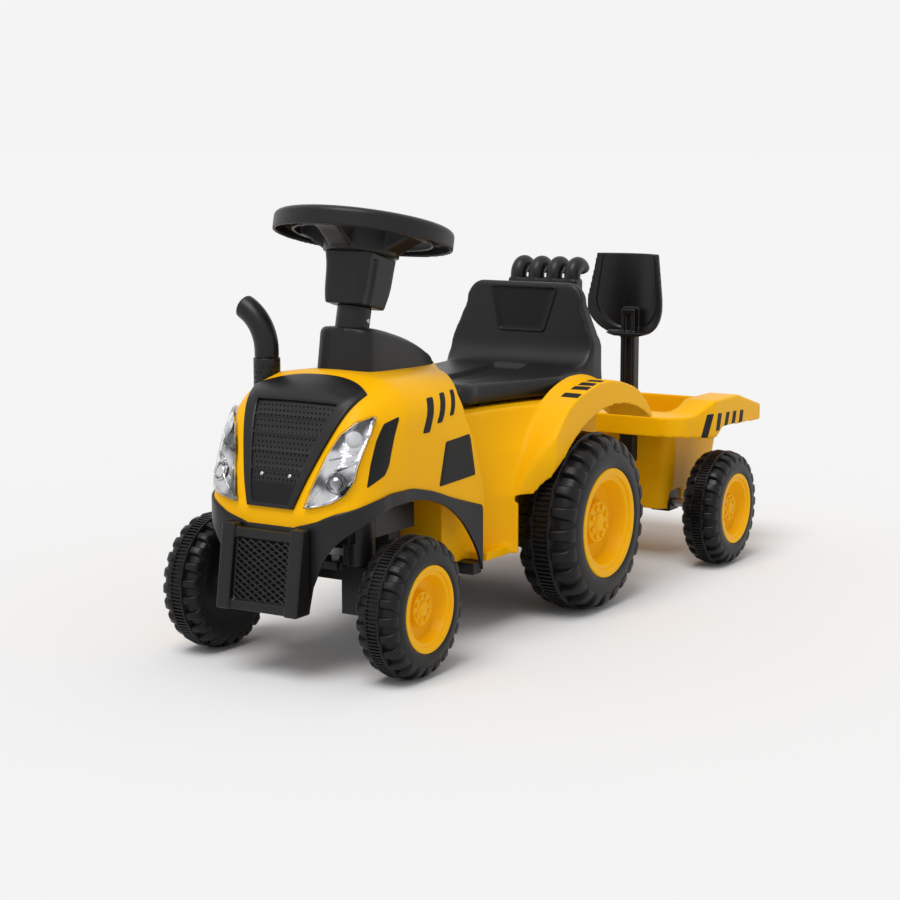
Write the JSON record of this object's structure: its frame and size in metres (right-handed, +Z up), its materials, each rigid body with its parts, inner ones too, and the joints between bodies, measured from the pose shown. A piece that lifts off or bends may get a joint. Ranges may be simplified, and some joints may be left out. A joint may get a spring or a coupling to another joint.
{
  "type": "ride on tractor toy",
  "caption": "Child's ride-on tractor with steered front wheels, lift-up seat over a storage bin, and a hitched trailer that carries a shovel and a rake.",
  "frame": {"origin": "on the ground below the rear axle, in the middle of the toy's length and width", "axes": "+X forward, +Y to the rider's left, +Z up"},
  "size_m": [0.834, 0.344, 0.4399],
  "materials": {
    "yellow_plastic": "moulded satin yellow",
    "black_plastic": "fine moulded grain, black",
    "tyre_plastic": "blow-moulded black",
    "steel": "bright drawn rod",
    "clear_lens": "clear moulded",
    "bright_reflector": "vacuum-plated bright",
    "button_plastic": "moulded satin"
  },
  "bodies": {
    "tractor": {"hood_shell": "yellow_plastic", "grille_panel": "black_plastic", "headlamp_lens_left": "clear_lens", "headlamp_lens_right": "clear_lens", "headlamp_reflector_left": "bright_reflector", "headlamp_reflector_right": "bright_reflector", "front_bumper": "black_plastic", "bumper_guard": "black_plastic", "chassis_floor": "black_plastic", "column_bush": "black_plastic", "rear_axle": "steel", "rear_axle_caps": "black_plastic", "rear_body": "yellow_plastic", "storage_bin": "black_plastic", "seat_hinge_pins": "steel", "dash_cowl": "black_plastic", "exhaust_can": "black_plastic", "exhaust_pipe": "black_plastic", "hitch_pin": "black_plastic"},
    "steering": {"steering_wheel": "black_plastic", "steering_hub": "black_plastic", "column_tube": "black_plastic", "steering_shaft": "steel"},
    "horn": {"horn_button": "button_plastic"},
    "melody_left": {"melody_button_left": "button_plastic"},
    "melody_right": {"melody_button_right": "button_plastic"},
    "tie_rod": {"tie_rod": "black_plastic"},
    "seat": {"seat": "black_plastic"},
    "trailer": {"trailer_tub": "yellow_plastic", "trailer_axle_blocks": "black_plastic", "trailer_axle": "steel", "trailer_axle_caps": "black_plastic", "drawbar": "black_plastic"},
    "shovel": {"shovel": "black_plastic"},
    "rake": {"rake": "black_plastic"},
    "knuckle_left": {"knuckle_left": "black_plastic", "stub_axle_left": "steel", "front_axle_cap_left": "black_plastic"},
    "front_wheel_left": {"front_tyre_left": "tyre_plastic", "front_hub_left": "yellow_plastic", "front_hub_cap_left": "yellow_plastic"},
    "rear_wheel_left": {"rear_tyre_left": "tyre_plastic", "rear_hub_left": "yellow_plastic", "rear_hub_cap_left": "yellow_plastic"},
    "trailer_wheel_left": {"trailer_tyre_left": "tyre_plastic", "trailer_hub_left": "yellow_plastic", "trailer_hub_cap_left": "yellow_plastic"},
    "knuckle_right": {"knuckle_right": "black_plastic", "stub_axle_right": "steel", "front_axle_cap_right": "black_plastic"},
    "front_wheel_right": {"front_tyre_right": "tyre_plastic", "front_hub_right": "yellow_plastic", "front_hub_cap_right": "yellow_plastic"},
    "rear_wheel_right": {"rear_tyre_right": "tyre_plastic", "rear_hub_right": "yellow_plastic", "rear_hub_cap_right": "yellow_plastic"},
    "trailer_wheel_right": {"trailer_tyre_right": "tyre_plastic", "trailer_hub_right": "yellow_plastic", "trailer_hub_cap_right": "yellow_plastic"}
  },
  "joints": [
    {"name": "steering_turn", "type": "hinge", "parent": "tractor", "child": "steering", "pos_m": [0.257, 0, 0.312], "axis": [-0.2284, 0, 0.9736], "range_deg": [-35, 35]},
    {"name": "tie_rod_slide", "type": "slide", "parent": "tractor", "child": "tie_rod", "axis": [0, 1, 0], "range_m": [-0.0116, 0.0116]},
    {"name": "seat_lift", "type": "hinge", "parent": "tractor", "child": "seat", "pos_m": [-0.106, 0, 0.2313], "axis": [0, -1, 0], "range_deg": [0, 55]},
    {"name": "hitch_swivel", "type": "hinge", "parent": "tractor", "child": "trailer", "pos_m": [-0.13, 0, 0.081], "axis": [0, 0, 1], "range_deg": [-25, 25]},
    {"name": "shovel_lift", "type": "slide", "parent": "trailer", "child": "shovel", "axis": [0, 0, 1], "range_m": [0, 0.06]},
    {"name": "rake_lift", "type": "slide", "parent": "trailer", "child": "rake", "axis": [0, 0, 1], "range_m": [0, 0.06]},
    {"name": "horn_press", "type": "slide", "parent": "steering", "child": "horn", "axis": [0.2284, 0, -0.9736], "range_m": [0, 0.0025], "stiffness_N_per_m": 400},
    {"name": "melody_left_press", "type": "slide", "parent": "steering", "child": "melody_left", "axis": [0.2284, 0, -0.9736], "range_m": [0, 0.0025], "stiffness_N_per_m": 400},
    {"name": "melody_right_press", "type": "slide", "parent": "steering", "child": "melody_right", "axis": [0.2284, 0, -0.9736], "range_m": [0, 0.0025], "stiffness_N_per_m": 400},
    {"name": "knuckle_left_turn", "type": "hinge", "parent": "tractor", "child": "knuckle_left", "pos_m": [0.328, 0.055, 0.1], "axis": [0, 0, 1], "range_deg": [-18.7, 18.7]},
    {"name": "front_wheel_left_roll", "type": "hinge", "parent": "knuckle_left", "child": "front_wheel_left", "pos_m": [0.328, 0.1115, 0.0665], "axis": [0, 1, 0], "continuous": true},
    {"name": "rear_wheel_left_roll", "type": "hinge", "parent": "tractor", "child": "rear_wheel_left", "pos_m": [0, 0.1165, 0.094], "axis": [0, 1, 0], "continuous": true},
    {"name": "trailer_wheel_left_roll", "type": "hinge", "parent": "trailer", "child": "trailer_wheel_left", "pos_m": [-0.282, 0.15, 0.0665], "axis": [0, 1, 0], "continuous": true},
    {"name": "knuckle_right_turn", "type": "hinge", "parent": "tractor", "child": "knuckle_right", "pos_m": [0.328, -0.055, 0.1], "axis": [0, 0, 1], "range_deg": [-18.7, 18.7]},
    {"name": "front_wheel_right_roll", "type": "hinge", "parent": "knuckle_right", "child": "front_wheel_right", "pos_m": [0.328, -0.1115, 0.0665], "axis": [0, 1, 0], "continuous": true},
    {"name": "rear_wheel_right_roll", "type": "hinge", "parent": "tractor", "child": "rear_wheel_right", "pos_m": [0, -0.1165, 0.094], "axis": [0, 1, 0], "continuous": true},
    {"name": "trailer_wheel_right_roll", "type": "hinge", "parent": "trailer", "child": "trailer_wheel_right", "pos_m": [-0.282, -0.15, 0.0665], "axis": [0, 1, 0], "continuous": true}
  ],
  "couplings": [
    {"joint": "tie_rod_slide", "follows": "steering_turn", "m_per_rad": -0.018779},
    {"joint": "knuckle_left_turn", "follows": "steering_turn", "ratio": 0.5309},
    {"joint": "knuckle_right_turn", "follows": "steering_turn", "ratio": 0.5309}
  ]
}
